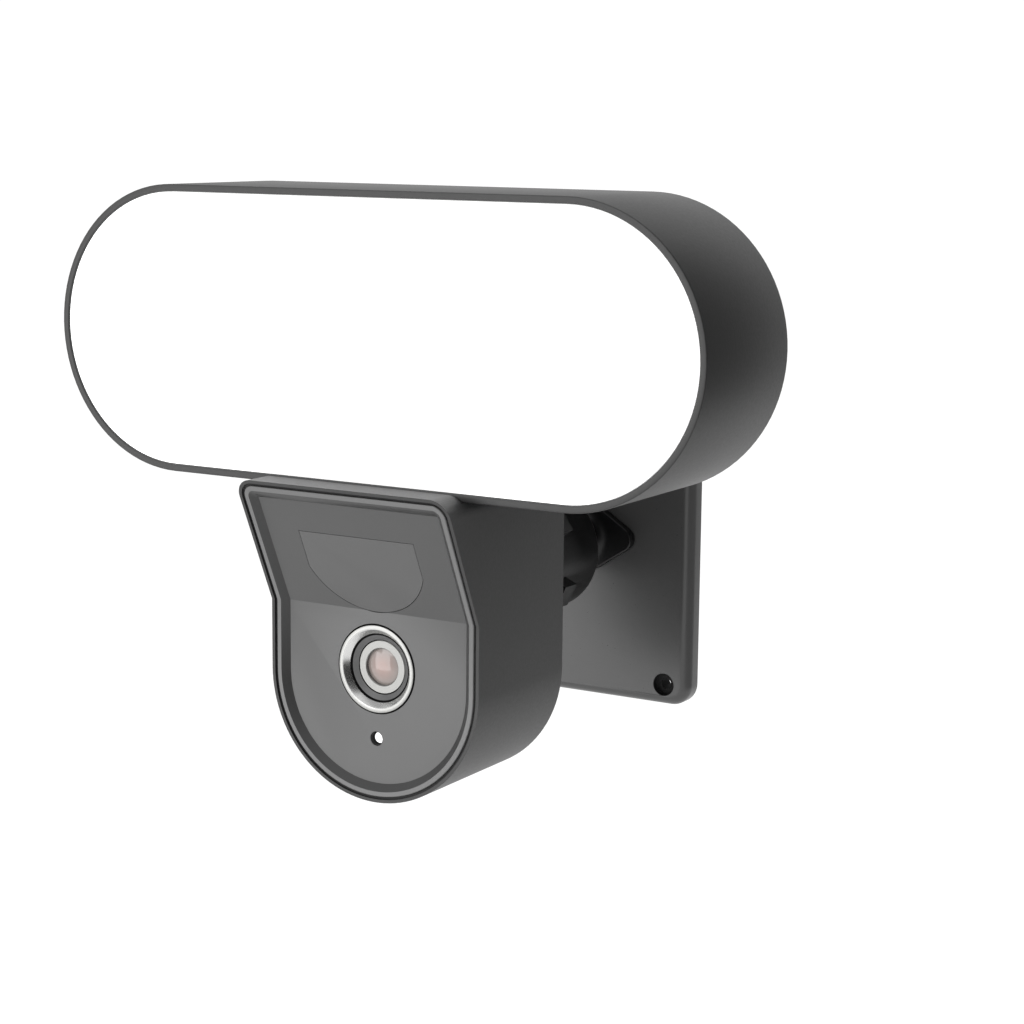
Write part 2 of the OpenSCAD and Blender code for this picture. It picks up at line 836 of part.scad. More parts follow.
// Side view of the shell: up the back, along under the lamp, round the lip, down the front.
module shell_side() {
    gap_y = -lamp_front - visor_gap;
    polygon([
        [-cam_back, -cam_drop - OVER], [-cam_back, lamp_base], [gap_y, lamp_base],
        [gap_y, visor_z], [-front_at(visor_z), visor_z], [-cam_front, -fold_drop],
        [-cam_front, -cam_drop - OVER]
    ]);
}

// Places of the grille's holes: a hexagon of rows.
module grille() {
    rows = floor(speaker_r / (grille_step * sin(60)));
    for (j = [-rows : rows]) {
        shift = abs(j) % 2 == 1 ? grille_step / 2 : 0;
        for (i = [-rows - 1 : rows + 1]) {
            x = i * grille_step + shift;
            z = j * grille_step * sin(60);
            if (norm([x, z]) < speaker_r - grille_edge) {
                bar(grille_r, cam_back - OVER, back_in + OVER, x, z - speaker_drop);
            }
        }
    }
}

module camera_shell() {
    color("#3f3f3f") difference() {
        union() {
            difference() {
                intersection() {
                    from_wall(cam_back, front_at(visor_z) + OVER) module_outline(0, visor_z);
                    across(cam_w + OVER) shell_side();
                }
                intersection() {
                    from_wall(back_in, front_at(visor_z) + OVER) module_outline(cam_wall, lamp_base);
                    across(cam_w) front_sheet(bezel_d - CUT, front_at(visor_z));
                }
                front_band_core(edge_w, -OVER, bezel_d);
            }
            for (p = board_posts) bar(board_post_r, back_in - OVER, board_y - board_t, p[0], p[1]);
        }
        for (p = board_posts) bar(BOARD_SCREW[0], board_y - board_t - board_bite, board_y, p[0], p[1]);
        bar(channel_out_r, cam_back - OVER, back_in + OVER);
        arm_screw_places() bar(ARM_SCREW[0], cam_back - OVER, back_in + OVER);
        translate([0, -join_hole_y, shell_top - OVER]) cylinder(r = join_hole_r, h = cam_wall + 2 * OVER);
        translate([0, -join_hole_y, lamp_base - join_ring_t])
            cylinder(r = join_ring_r, h = join_ring_t + OVER);
        join_places() translate([0, 0, shell_top - OVER])
            cylinder(r = JOIN_SCREW[0], h = cam_wall + 2 * OVER);
        grille();
        bar(mic_hole_r, cam_back - OVER, back_in + OVER, 0, -mic_drop);
        bar(reset_r + reset_fit, cam_back - OVER, back_in + OVER, side_x, side_z);
        block(cover_w, cover_h, cam_back - OVER, cam_back + cover_t, -side_x, side_z);
        block(slot_w, slot_h, cam_back, back_in + OVER, -side_x, side_z);
        for (z = [-1, 1]) bar(COVER_SCREW[0], cam_back, back_in + OVER, -side_x, side_z + z * cover_screw_z);
    }
}

// Filled band of the front, used to sink the rebate for the bezel.
module front_band_core(inset, near, far) {
    intersection() {
        from_wall(cam_back, front_at(visor_z) + 2) module_outline(inset, visor_z);
        across(cam_w) front_sheet(near, far);
    }
}

module front_bezel() {
    color("#707070") front_band(bezel_out, bezel_in, 0, bezel_d);
}

module bezel_seal() {
    color("#1c1c1c") front_band(edge_w, bezel_out, groove_d, bezel_d);
}

module face_panel() {
    color("#6c6c6c") difference() {
        union() {
            front_band_core(bezel_in, panel_in, bezel_d);
            on_visor() for (x = [-sensor_post_x, sensor_post_x]) {
                translate([x, sensor_board_v, -sensor_board_n])
                    cylinder(r = sensor_post_r, h = sensor_board_n - panel_t / 2);
            }
        }
        bar(lens_hole_r, cam_front - bezel_d - OVER, cam_front, 0, -lens_drop);
        bar(indicator_r, cam_front - bezel_d - OVER, cam_front, 0, -indicator_drop);
        on_visor() translate([0, 0, -panel_t - OVER]) linear_extrude(panel_t + 2 * OVER)
            window_outline(window_gap);
    }
}

// Infrared-clear window, flush with the panel, with a flange behind it.
module sensor_window() {
    t = panel_t * cos(visor_lean);
    color("#5a5a5a") on_visor() {
        translate([0, 0, -t]) linear_extrude(t) window_outline(0);
        translate([0, 0, -t - window_flange_t]) linear_extrude(window_flange_t) intersection() {
            window_outline(window_flange_w);
            translate([-window_w, window_flange_up]) square([2 * window_w, 2 * window_h]);
        }
    }
}

module sensor_board() {
    color("#2c6e3f") on_visor() translate([0, sensor_board_v, -sensor_board_n - board_t / 2])
        cube([sensor_board_w, sensor_board_h, board_t], center = true);
}

module motion_sensor() {
    can_r = 4.6;
    can_h = 5;
    color("silver") on_visor() translate([0, sensor_board_v, -sensor_board_n])
        cylinder(r = can_r, h = can_h);
}

module infrared_leds() {
    spread = 14;
    color("#303040") on_visor() for (x = [-spread, spread]) {
        translate([x, sensor_board_v, -sensor_board_n]) cylinder(r = 2.5, h = 4);
    }
}

// Bright trim ring with a cone down to the lens and a flange behind the panel.
module lens_ring() {
    soft = ring_proud / 2;
    flange = lens_hole_r + ring_flange_w;
    flange_back = -panel_t - ring_flange_t;
    color("#d8d8d8") turned(panel_y, 0, -lens_drop) polygon([
        [ring_r - ring_face, ring_proud], [ring_r - soft, ring_proud], [ring_r, soft],
        [ring_r, -panel_t], [flange, -panel_t], [flange, flange_back],
        [sleeve_r + sleeve_t, flange_back], [sleeve_r + sleeve_t, -ring_sleeve_d],
        [sleeve_r, -ring_sleeve_d], [sleeve_r, -barrel_in - cone_in]
    ]);
}

module lens_barrel() {
    color("#c8c8c8") turned(barrel_back, 0, -lens_drop) difference() {
        square([barrel_r, panel_y - barrel_in - barrel_back]);
        translate([-OVER, -OVER]) square([glass_r + OVER, panel_y + 2 * OVER - barrel_back]);
    }
}

// Domed front element, held in the barrel's mouth.
module lens_glass() {
    dome_r = 11;
    crown_in = 0.6;
    thick = 3;
    color("#b0a0a0") turned(panel_y - barrel_in - crown_in - thick, 0, -lens_drop) intersection() {
        square([glass_r, thick]);
        translate([0, thick - dome_r]) circle(r = dome_r);
    }
}

module lens_holder() {
    front = panel_y - ring_sleeve_d;
    color("#202020") difference() {
        block(holder_w, holder_w, front - holder_d, front, 0, -lens_drop);
        bar(barrel_r, front - holder_d - OVER, front + OVER, 0, -lens_drop);
    }
}

module image_sensor() {
    color("#404860") block(9, 7, camera_board_y, camera_board_y + 1.3, 0, -lens_drop);
}

module camera_board() {
    w = camera_board_w;
    color("#2c6e3f") block(w, w, camera_board_y - board_t, camera_board_y, 0, -lens_drop);
}

// Clear light pipe: its end shows in the indicator hole, its collar stands behind the panel.
module light_pipe() {
    panel_back = panel_y - panel_t;
    color("white") {
        bar(pipe_r, panel_y - pipe_len, panel_y - pipe_in, 0, -indicator_drop);
        bar(indicator_r + pipe_flange_w, panel_back - pipe_flange_t, panel_back, 0, -indicator_drop);
    }
}

module status_led() {
    y = panel_y - pipe_len;
    color("#f4f4ff") block(3.2, 2.8, y - status_led_t, y, 0, -indicator_drop);
}

module indicator_board() {
    y = panel_y - pipe_len - status_led_t;
    color("#2c6e3f") block(14, 9, y - board_t, y, 0, -indicator_drop);
}

module main_board() {
    color("#2c6e3f") difference() {
        translate([0, 0, (board_low + board_high) / 2])
            block(board_w, board_high - board_low, board_y - board_t, board_y);
        for (p = board_posts) bar(BOARD_SCREW[0], board_y - board_t - OVER, board_y + OVER, p[0], p[1]);
    }
}

module board_screws() {
    color("silver") for (p = board_posts) {
        screw(BOARD_SCREW, board_y - board_t - board_bite, board_y, p[0], p[1]);
    }
}

module processor_shield() {
    side = 24;
    color("silver") block(side, side, board_y, board_y + 2.6, -13, 12);
}

module wifi_module() {
    color("silver") block(16, 20, board_y, board_y + 2.8, 17, 12);
}

// Flexible antenna on the inside of the shell's left wall.
module wifi_antenna() {
    color("#c08040") translate([cam_wall - cam_r, -cam_front + 14, 0]) cube([0.5, 26, 8]);
}

module speaker() {
    basket_t = 3;
    magnet_t = 4;
    color("#303030") {
        bar(speaker_r, back_in, back_in + basket_t, 0, -speaker_drop);
        bar(speaker_r - 4, back_in + basket_t, back_in + basket_t + magnet_t, 0, -speaker_drop);
    }
}

module microphone() {
    color("silver") bar(2.5, back_in, back_in + 2, 0, -mic_drop);
}

module card_socket() {
    color("silver") block(slot_w + 4, slot_h + 3, back_in, back_in + 3.5, -side_x, side_z);
}

module card_cover() {
    color("#363636") difference() {
        block(cover_w - 2 * cover_gap, cover_h - 2 * cover_gap, cam_back, cam_back + cover_t,
              -side_x, side_z);
        for (z = [-1, 1]) {
            bar(COVER_SCREW[0], cam_back - OVER, cam_back + cover_t + OVER,
                -side_x, side_z + z * cover_screw_z);
        }
    }
}

module cover_screws() {
    color("silver") for (z = [-1, 1]) {
        screw(COVER_SCREW, cam_back, back_in, -side_x, side_z + z * cover_screw_z, false);
    }
}

// Round button with a flange that keeps it behind the shell's back wall.
module reset_button() {
    color("#242424") {
        bar(reset_r, cam_back - reset_proud, back_in, side_x, side_z);
        bar(reset_r + reset_flange_w, back_in, back_in + reset_flange_t, side_x, side_z);
    }
}

module reset_switch() {
    tip = back_in + reset_flange_t + reset_travel + switch_gap;
    color("#505050") {
        block(6, 6, tip + switch_stem_l, board_y - board_t, side_x, side_z);
        bar(1.6, tip, tip + switch_stem_l, side_x, side_z);
    }
}

wall_plate();
wall_gasket();
cable_grommet();
ball_stud();
stud_screws();
friction_seat();
pressure_cup();
locking_collar();
socket_arm();
arm_screws();
lamp_housing();
lamp_diffuser();
diffuser_seal();
reflector_frame();
led_board();
led_chips();
heat_plate();
led_screws();
driver_tray();
driver_board();
driver_transformer();
driver_capacitors();
vent_plug();
join_gasket();
join_screws();
camera_shell();
front_bezel();
bezel_seal();
face_panel();
sensor_window();
sensor_board();
motion_sensor();
infrared_leds();
lens_ring();
lens_barrel();
lens_glass();
lens_holder();
image_sensor();
camera_board();
light_pipe();
status_led();
indicator_board();
main_board();
board_screws();
processor_shield();
wifi_module();
wifi_antenna();
speaker();
microphone();
card_socket();
card_cover();
cover_screws();
reset_button();
reset_switch();
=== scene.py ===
# %% [markdown]
# # Floodlight camera for an outside wall
# The real object is a wide lamp over a small camera, and both hang on one lockable ball joint
# on a wall plate. The engineering model comes in as a fixed frame, in metres, with +Z up and
# the wall at Y = 0. This lesson dresses that frame: it remakes the pieces whose edges and
# profiles the eye reads, and it gives each piece the finish of the material it is made of,
# with painted shade added on the camera's face, in the lens and in the counterbores.

import json
from math import atan2, cos, pi, radians, sin, tan

import bmesh
import bpy
from mathutils import Matrix, Vector


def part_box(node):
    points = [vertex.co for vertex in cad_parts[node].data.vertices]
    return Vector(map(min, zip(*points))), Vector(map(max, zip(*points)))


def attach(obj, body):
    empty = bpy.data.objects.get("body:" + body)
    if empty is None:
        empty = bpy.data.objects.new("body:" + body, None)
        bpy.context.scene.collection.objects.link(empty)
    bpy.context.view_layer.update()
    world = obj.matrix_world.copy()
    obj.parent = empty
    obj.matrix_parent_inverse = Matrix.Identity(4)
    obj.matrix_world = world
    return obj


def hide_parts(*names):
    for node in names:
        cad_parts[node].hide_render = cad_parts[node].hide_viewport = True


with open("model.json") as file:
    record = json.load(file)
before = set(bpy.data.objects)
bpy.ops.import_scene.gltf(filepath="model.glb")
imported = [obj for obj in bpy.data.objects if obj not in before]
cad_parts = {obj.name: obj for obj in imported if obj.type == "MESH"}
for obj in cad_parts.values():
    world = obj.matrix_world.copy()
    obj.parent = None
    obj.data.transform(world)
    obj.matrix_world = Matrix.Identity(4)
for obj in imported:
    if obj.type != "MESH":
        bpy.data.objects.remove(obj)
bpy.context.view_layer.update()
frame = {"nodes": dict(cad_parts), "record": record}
MM = 0.001

# %% [markdown]
# ## The camera
# A long lens keeps the lamp's straight edges nearly parallel, so the camera stands well back,
# to the right of the object and a little above it. A camera looks along its own -Z axis with
# +Y as its top, so its turn is built here from the three directions that it should have.

# %% Camera
EYE = Vector((434.1, -790.0, 160.2)) * MM
AIM = Vector((58.67, -162.58, 35.80)) * MM
ROLL = radians(0.544)
FOCAL_MM = 82.71

look = (AIM - EYE).normalized()
right = look.cross(Vector((0, 0, 1))).normalized()
up = right.cross(look)
side = right * cos(ROLL) + up * sin(ROLL)
top = up * cos(ROLL) - right * sin(ROLL)
camera = bpy.data.objects.new("camera", bpy.data.cameras.new("camera"))
camera.data.lens = FOCAL_MM
camera.data.sensor_width = 36.0
camera.data.clip_start = 0.05
camera.matrix_world = Matrix.Translation(EYE) @ Matrix((side, top, -look)).transposed().to_4x4()
bpy.context.scene.collection.objects.link(camera)
bpy.context.scene.camera = camera
print("camera stands", round((AIM - EYE).length, 3), "m away")

# %% [markdown]
# ## Two small helpers for materials
# Colours are picked as sRGB hex, as in any paint program, but shaders work in linear light, so
# one function turns them. The other adds a node, sets its values and plugs in its links.

# %% Colour and node helpers


def linear(hex_colour):
    """Turns an sRGB hex colour into the linear colour that a shader expects."""
    channels = [int(hex_colour[i:i + 2], 16) / 255 for i in (1, 3, 5)]
    return tuple(c / 12.92 if c < 0.04045 else ((c + 0.055) / 1.055) ** 2.4 for c in channels) + (1.0,)


def add(tree, kind, settings=None, links=None):
    """Adds a node. Settings are its properties or its inputs' values, and links feed its inputs."""
    made = tree.nodes.new(kind)
    for name, value in (settings or {}).items():
        if isinstance(name, str) and hasattr(made, name):
            setattr(made, name, value)
        else:
            made.inputs[name].default_value = value
    for name, source in (links or {}).items():
        tree.links.new(source, made.inputs[name])
    return made


def bare(name, sockets):
    """A new material with values on its shader's own sockets, and its tree, shader and place."""
    material = bpy.data.materials.new(name)
    material.use_nodes = True
    tree = material.node_tree
    shader = tree.nodes["Principled BSDF"]
    for socket, value in sockets.items():
        shader.inputs[socket].default_value = value
    place = add(tree, "ShaderNodeTexCoord").outputs["Object"]
    return material, tree, shader, place


# %% [markdown]
# ## The studio
# A dark satin product shows its shape by what it reflects. A white room all round gives the
# pale, even reflections, and a large soft lamp above on the left models the front. A second one,
# low on the left, stands where the upright faces mirror it, while the leaning visor half mirrors
# the floor instead. That adds to the change of tone at the fold, where the visor half also has painted shade.
# A black card on the right takes the white away from that side, as product photographers do, so
# the sides turn dark. It shows in reflections only, and casts no shadow on the plain pale floor.

# %% Room and lights
FLOOR_Z = -0.42
ROOM_LIGHT = 1.06
CARD_X = 0.62
CARD_HALF = 1.0

room = bpy.data.worlds.new("white room")
bpy.context.scene.world = room
room.use_nodes = True
room.node_tree.nodes["Background"].inputs["Color"].default_value = (1.0, 1.0, 1.0, 1.0)
room.node_tree.nodes["Background"].inputs["Strength"].default_value = ROOM_LIGHT
bpy.context.scene.view_settings.view_transform = "Standard"


def soft_light(name, place, aim, size, watts):
    """Adds a square area light at a place, turned towards an aim."""
    light = bpy.data.objects.new(name, bpy.data.lights.new(name, "AREA"))
    light.data.size = size
    light.data.energy = watts
    light.location = place
    light.rotation_euler = (Vector(aim) - Vector(place)).to_track_quat("-Z", "Y").to_euler()
    bpy.context.scene.collection.objects.link(light)


soft_light("front light", (-0.5, -1.6, 0.75), (0, -0.15, 0), 1.1, 9.0)
soft_light("low left light", (-0.66, -1.15, -0.20), (0, -0.1, -0.03), 0.75, 4.0)

card_black = bare("black flock card", {"Base Color": linear("#050505"), "Roughness": 1.0})[0]
bm = bmesh.new()
bmesh.ops.create_grid(bm, x_segments=1, y_segments=1, size=CARD_HALF)
bmesh.ops.rotate(bm, verts=bm.verts, cent=(0, 0, 0), matrix=Matrix.Rotation(pi / 2, 3, "Y"))
bmesh.ops.translate(bm, verts=bm.verts, vec=(CARD_X, 0.15, CARD_HALF + FLOOR_Z + 0.12))
card_mesh = bpy.data.meshes.new("card")
bm.to_mesh(card_mesh)
bm.free()
card_mesh.materials.append(card_black)
card = bpy.data.objects.new("card", card_mesh)
card.visible_camera = False
card.visible_diffuse = False
card.visible_shadow = False
bpy.context.scene.collection.objects.link(card)

# %% [markdown]
# ## Moulded plastic
# Housings like this are ABS or ASA from a steel mould that sparks have roughened. The eye sees
# a soft sheen that is broken up into grains, and a colour that hardly changes. Real grains are
# a third of a millimetre and would vanish here, so they are drawn about three times coarser.
# The same recipe serves three finishes that aren't bare plastic: silicone rubber, a flat black
# for the painted shade of seams and hollows, and the painted shade of the lens funnel's step.

# %% Moulded plastic
GRAIN_MM = 1.0
CLOUD_MM = 45.0


def moulded(name, dark, light, roughness, depth_mm, sockets=None):
    """Plastic from a roughened mould, between two close colours, with grains of a given depth."""
    material, tree, shader, place = bare(name, {"IOR": 1.5, **(sockets or {})})
    grains = add(tree, "ShaderNodeTexNoise", {"Scale": 1 / (GRAIN_MM * MM), "Detail": 4.0}, {"Vector": place})
    clouds = add(tree, "ShaderNodeTexNoise", {"Scale": 1 / (CLOUD_MM * MM), "Detail": 2.0}, {"Vector": place})
    tone = add(tree, "ShaderNodeMix", {"data_type": "RGBA", 6: linear(dark), 7: linear(light)},
               {0: clouds.outputs["Fac"]})
    tree.links.new(tone.outputs[2], shader.inputs["Base Color"])
    sheen = add(tree, "ShaderNodeMapRange", {"To Min": roughness - 0.06, "To Max": roughness + 0.06},
                {"Value": grains.outputs["Fac"]})
    tree.links.new(sheen.outputs["Result"], shader.inputs["Roughness"])
    bump = add(tree, "ShaderNodeBump", {"Strength": 1.0, "Distance": depth_mm * MM},
               {"Height": grains.outputs["Fac"]})
    tree.links.new(bump.outputs["Normal"], shader.inputs["Normal"])
    return material


housing_asa = moulded("dark grey ASA", "#232323", "#272727", 0.48, 0.030)
plate_asa = moulded("grey ASA of the wall plate", "#3a3a3a", "#404040", 0.30, 0.012)
joint_nylon = moulded("black glass-filled nylon", "#060607", "#0a0a0b", 0.36, 0.020, {"IOR": 1.38})
bezel_abs = moulded("satin grey ABS", "#5c5c5c", "#616161", 0.36, 0.010)
panel_abs = moulded("fine satin ABS of the face", "#4a4a4a", "#4e4e4e", 0.34, 0.006)
# Painted shade: the visor half is darkened below the tone of the face.
visor_painted_shade_abs = moulded("satin ABS of the visor half, darkened as painted shade", "#3c3c3c", "#404040", 0.34, 0.006)
# Painted shade: the frame's slope is darkened.
slope_painted_shade_abs = moulded("satin ABS of the slope, darkened as painted shade", "#262626", "#2b2b2b", 0.32, 0.006)
window_pc = moulded("smoky polycarbonate", "#484848", "#4c4c4c", 0.36, 0.004)
seat_nylon = moulded("white nylon", "#dcd8d0", "#e4e0d8", 0.45, 0.010)
black_abs = moulded("black ABS", "#101011", "#161617", 0.40, 0.012)
rubber = moulded("black silicone rubber", "#131313", "#1a1a1a", 0.72, 0.012)
# Painted shade: the lens funnel's step is darkened.
funnel_step_painted_shade = moulded("grey of the lens funnel step, darkened as painted shade", "#484848", "#525252", 0.36, 0.004)
# Painted shade: this flat black fills seams, the trim's groove and the status light's hole.
shade_black = moulded("flat black of painted shade in seams and hollows", "#030303", "#060606", 0.85, 0.010)
# Painted shade: the counterbores are blackened.
counterbore_painted_shade = moulded("dull ASA of the counterbores, blackened as painted shade", "#030303", "#060606", 0.85, 0.010)

# %% [markdown]
# ## The lit diffuser
# The lamp's face is opal polycarbonate, lit from behind by rows of LEDs. It scatters the light
# so well that it looks like one flat sheet of white, so it is a white plastic that glows
# evenly. A frost breaks up the glancing reflections. The real one is far too fine to show, so
# it is drawn much coarser.

# %% Opal diffuser
FROST_MM = 0.8

opal_pc, tree, shader, place = bare("opal polycarbonate", {
    "Base Color": linear("#f4f4f4"), "Roughness": 0.45, "IOR": 1.58,
    "Emission Color": linear("#fdfdfd"), "Emission Strength": 0.62,
})
frost = add(tree, "ShaderNodeTexNoise", {"Scale": 1 / (FROST_MM * MM), "Detail": 2.0}, {"Vector": place})
bump = add(tree, "ShaderNodeBump", {"Strength": 1.0, "Distance": 0.004 * MM},
           {"Height": frost.outputs["Fac"]})
tree.links.new(bump.outputs["Normal"], shader.inputs["Normal"])

# %% [markdown]
# ## Metals
# Screws are zinc-plated steel, whose reflections are soft and a little uneven. The lens trim is
# turned aluminium with a bright satin finish, so its marks are rings round the lens. A Wave
# texture in RINGS mode draws circles round one axis of its coordinates, so a Mapping node moves
# the lens to zero. The texture draws 20 / (2 * pi) waves to a unit of its scale. Real marks are
# about a tenth of a millimetre apart, too fine to show, so these are drawn at 2.2 mm.

# %% Metals
LENS = (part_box("lens_ring")[0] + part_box("lens_ring")[1]) / 2
RING_MARK_MM = 2.2
WAVES_PER_UNIT = 20 / (2 * pi)
PLATING_MM = 1.2


def plated(name, colour, roughness, spot_mm):
    """Plated or milled metal with soft, uneven reflections."""
    material, tree, shader, place = bare(name, {"Base Color": linear(colour), "Metallic": 1.0})
    spots = add(tree, "ShaderNodeTexNoise", {"Scale": 1 / (spot_mm * MM), "Detail": 3.0}, {"Vector": place})
    sheen = add(tree, "ShaderNodeMapRange", {"To Min": roughness - 0.08, "To Max": roughness + 0.08},
                {"Value": spots.outputs["Fac"]})
    tree.links.new(sheen.outputs["Result"], shader.inputs["Roughness"])
    return material


def turned_metal(name, colour, roughness):
    """Metal turned on a lathe round the lens, with fine rings."""
    material, tree, shader, place = bare(name, {
        "Base Color": linear(colour), "Metallic": 1.0, "Roughness": roughness,
    })
    centred = add(tree, "ShaderNodeMapping", {"Location": -LENS}, {"Vector": place})
    rings = add(tree, "ShaderNodeTexWave", {
        "wave_type": "RINGS", "rings_direction": "Y",
        "Scale": 1 / (WAVES_PER_UNIT * RING_MARK_MM * MM),
    }, {"Vector": centred.outputs["Vector"]})
    bump = add(tree, "ShaderNodeBump", {"Strength": 0.4, "Distance": 0.004 * MM},
               {"Height": rings.outputs["Fac"]})
    tree.links.new(bump.outputs["Normal"], shader.inputs["Normal"])
    return material


zinc_steel = plated("zinc-plated steel", "#b9bbbd", 0.34, PLATING_MM)
milled_aluminium = plated("milled aluminium", "#c9cbcc", 0.38, PLATING_MM)
trim_aluminium = turned_metal("bright turned aluminium", "#9c9c9a", 0.34)
cone_aluminium = turned_metal("satin turned aluminium", "#cfcfce", 0.26)
barrel_aluminium = turned_metal("pale satin aluminium", "#8e8e8c", 0.40)

# %% [markdown]
# ## Glass, light and the electronics inside
# The front lens is coated glass with a warm, pinkish look. It is drawn as an opaque glossy
# surface in that tone and not as clear glass, so the lens parts behind it don't show through.
# The circuit boards are green solder mask over copper tracks, which a Brick texture lays out as
# a grid of short lines. None of the boards shows, but an opened model should still look real.

# %% Glass, boards and LEDs
TRACK_MM = 2.4

coated_glass, tree, shader, place = bare("coated optical glass", {
    "Roughness": 0.08, "IOR": 1.6, "Coat Weight": 0.4, "Coat Roughness": 0.02,
})
middle = add(tree, "ShaderNodeMapping", {"Location": -LENS}, {"Vector": place})
reach = add(tree, "ShaderNodeVectorMath", {"operation": "LENGTH"}, {0: middle.outputs["Vector"]})
spread = add(tree, "ShaderNodeMapRange", {"From Min": 1.5 * MM, "From Max": 6.5 * MM},
             {"Value": reach.outputs["Value"]})
pupil = add(tree, "ShaderNodeValToRGB", None, {"Fac": spread.outputs["Result"]})
pupil.color_ramp.elements[0].color = linear("#8e7770")
pupil.color_ramp.elements[1].color = linear("#827c78")
tree.links.new(pupil.outputs["Color"], shader.inputs["Base Color"])


def board(name, mask, track):
    """A circuit board's solder mask with the tracks showing faintly through it."""
    material, tree, shader, place = bare(name, {"Roughness": 0.3, "IOR": 1.5, "Coat Weight": 0.3})
    tracks = add(tree, "ShaderNodeTexBrick", {
        "Color1": linear(mask), "Color2": linear(mask), "Mortar": linear(track),
        "Scale": 1.0, "Mortar Size": 0.25 * MM,
        "Brick Width": 4 * TRACK_MM * MM, "Row Height": TRACK_MM * MM,
    }, {"Vector": add(tree, "ShaderNodeMapping", {"Rotation": (pi / 2, 0, 0)},
                      {"Vector": place}).outputs["Vector"]})
    tree.links.new(tracks.outputs["Color"], shader.inputs["Base Color"])
    return material


green_board = board("green solder mask", "#12401f", "#1e5a2c")
white_board = board("white solder mask", "#e6e6e2", "#d2d2cc")
blue_sleeve = moulded("blue shrink sleeve", "#142038", "#182642", 0.3, 0.004)
copper_film = plated("copper film", "#b8703c", 0.4, PLATING_MM)
phosphor = moulded("yellow LED phosphor", "#e0b84a", "#e8c45c", 0.4, 0.006, {
    "Emission Color": linear("#fff2d0"), "Emission Strength": 0.5,
})
lit_pipe = moulded("lit clear acrylic", "#f6f6f6", "#ffffff", 0.25, 0.003, {
    "Emission Color": linear("#ffffff"), "Emission Strength": 0.8,
})

FINISHES = {
    "plate_plastic": plate_asa, "housing_plastic": housing_asa, "joint_plastic": joint_nylon,
    "bezel_plastic": bezel_abs, "panel_plastic": panel_abs, "window_plastic": window_pc,
    "opal_plastic": opal_pc, "rubber": rubber, "seat_plastic": seat_nylon, "steel": zinc_steel,
    "aluminium": milled_aluminium, "silver_trim": trim_aluminium, "lens_glass": coated_glass,
    "black_plastic": black_abs, "capacitor_sleeve": blue_sleeve, "board_green": green_board,
    "board_white": white_board, "led_phosphor": phosphor, "light_pipe": lit_pipe,
    "copper_film": copper_film,
}
SLOT_OF = {part["node"]: part["material_slot"] for part in frame["record"]["subparts"]}
for node, thing in frame["nodes"].items():
    thing.data.materials.clear()
    thing.data.materials.append(FINISHES[SLOT_OF[node]])
print(len(FINISHES), "finishes on", len(SLOT_OF), "pieces of the frame")

# %% [markdown]
# ## From a bmesh to a piece
# Each new piece is finished in the same way: its faces are pointed outwards, its mesh becomes an
# object at the origin, its curved faces are shaded smooth up to an angle, and it is hung on the
# body it rides on, given its finish, and the pieces of the frame that it stands for are hidden.

# %% Finishing a piece
SMOOTH_UP_TO = radians(32)


def piece(name, bm, body, *nodes, materials=None):
    """Makes an object of a bmesh. It rides on a body and stands for one or more CAD nodes."""
    bmesh.ops.remove_doubles(bm, verts=bm.verts, dist=0.001 * MM)
    bmesh.ops.recalc_face_normals(bm, faces=bm.faces)
    mesh = bpy.data.meshes.new(name)
    bm.to_mesh(mesh)
    bm.free()
    mesh.shade_smooth()
    mesh.set_sharp_from_angle(angle=SMOOTH_UP_TO)
    for material in materials or [FINISHES[SLOT_OF[nodes[0]]]]:
        mesh.materials.append(material)
    made = bpy.data.objects.new(name, mesh)
    bpy.context.scene.collection.objects.link(made)
    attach(made, body)
    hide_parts(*nodes)
    print(name, "has", len(mesh.polygons), "faces")
    return made


def softened(name, body, node, width_mm, segments=3):
    """A copy of a CAD node with its loose triangles merged and its sharp edges rounded."""
    bm = bmesh.new()
    bm.from_mesh(frame["nodes"][node].data)
    bmesh.ops.remove_doubles(bm, verts=bm.verts, dist=0.001 * MM)
    bmesh.ops.dissolve_limit(bm, angle_limit=radians(0.5), verts=bm.verts, edges=bm.edges,
                             delimit={"NORMAL"})
    made = piece(name, bm, body, node)
    soften = made.modifiers.new("soften", "BEVEL")
    soften.width = width_mm * MM
    soften.segments = segments
    soften.limit_method = "ANGLE"
    soften.angle_limit = radians(40)
    soften.harden_normals = True
    return made


def edges_where(bm, test):
    """The edges whose two ends both pass a test of their place."""
    return [edge for edge in bm.edges if all(test(v.co) for v in edge.verts)]


def round_edges(bm, edges, width_mm, segments):
    """Rounds some edges off with a bevel."""
    bmesh.ops.bevel(bm, geom=edges, offset=width_mm * MM, segments=segments, profile=0.5,
                    affect="EDGES", material=-1, clamp_overlap=True)


# %% [markdown]
# ## The lamp
# The lamp's housing and its diffuser are one section carried round a stadium: half a turn round
# each end and a straight run between. A spin makes the half turns and an extrusion the runs, so
# the edges run clean all the way round and can be rounded in one go.

# %% Sweeping a section round the lamp
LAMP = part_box("lamp_housing")
LAMP_R = (LAMP[1].z - LAMP[0].z) / 2
LAMP_Z = (LAMP[1].z + LAMP[0].z) / 2
LAMP_HALF = LAMP[1].x - LAMP_R
HALF_TURN_STEPS = 48


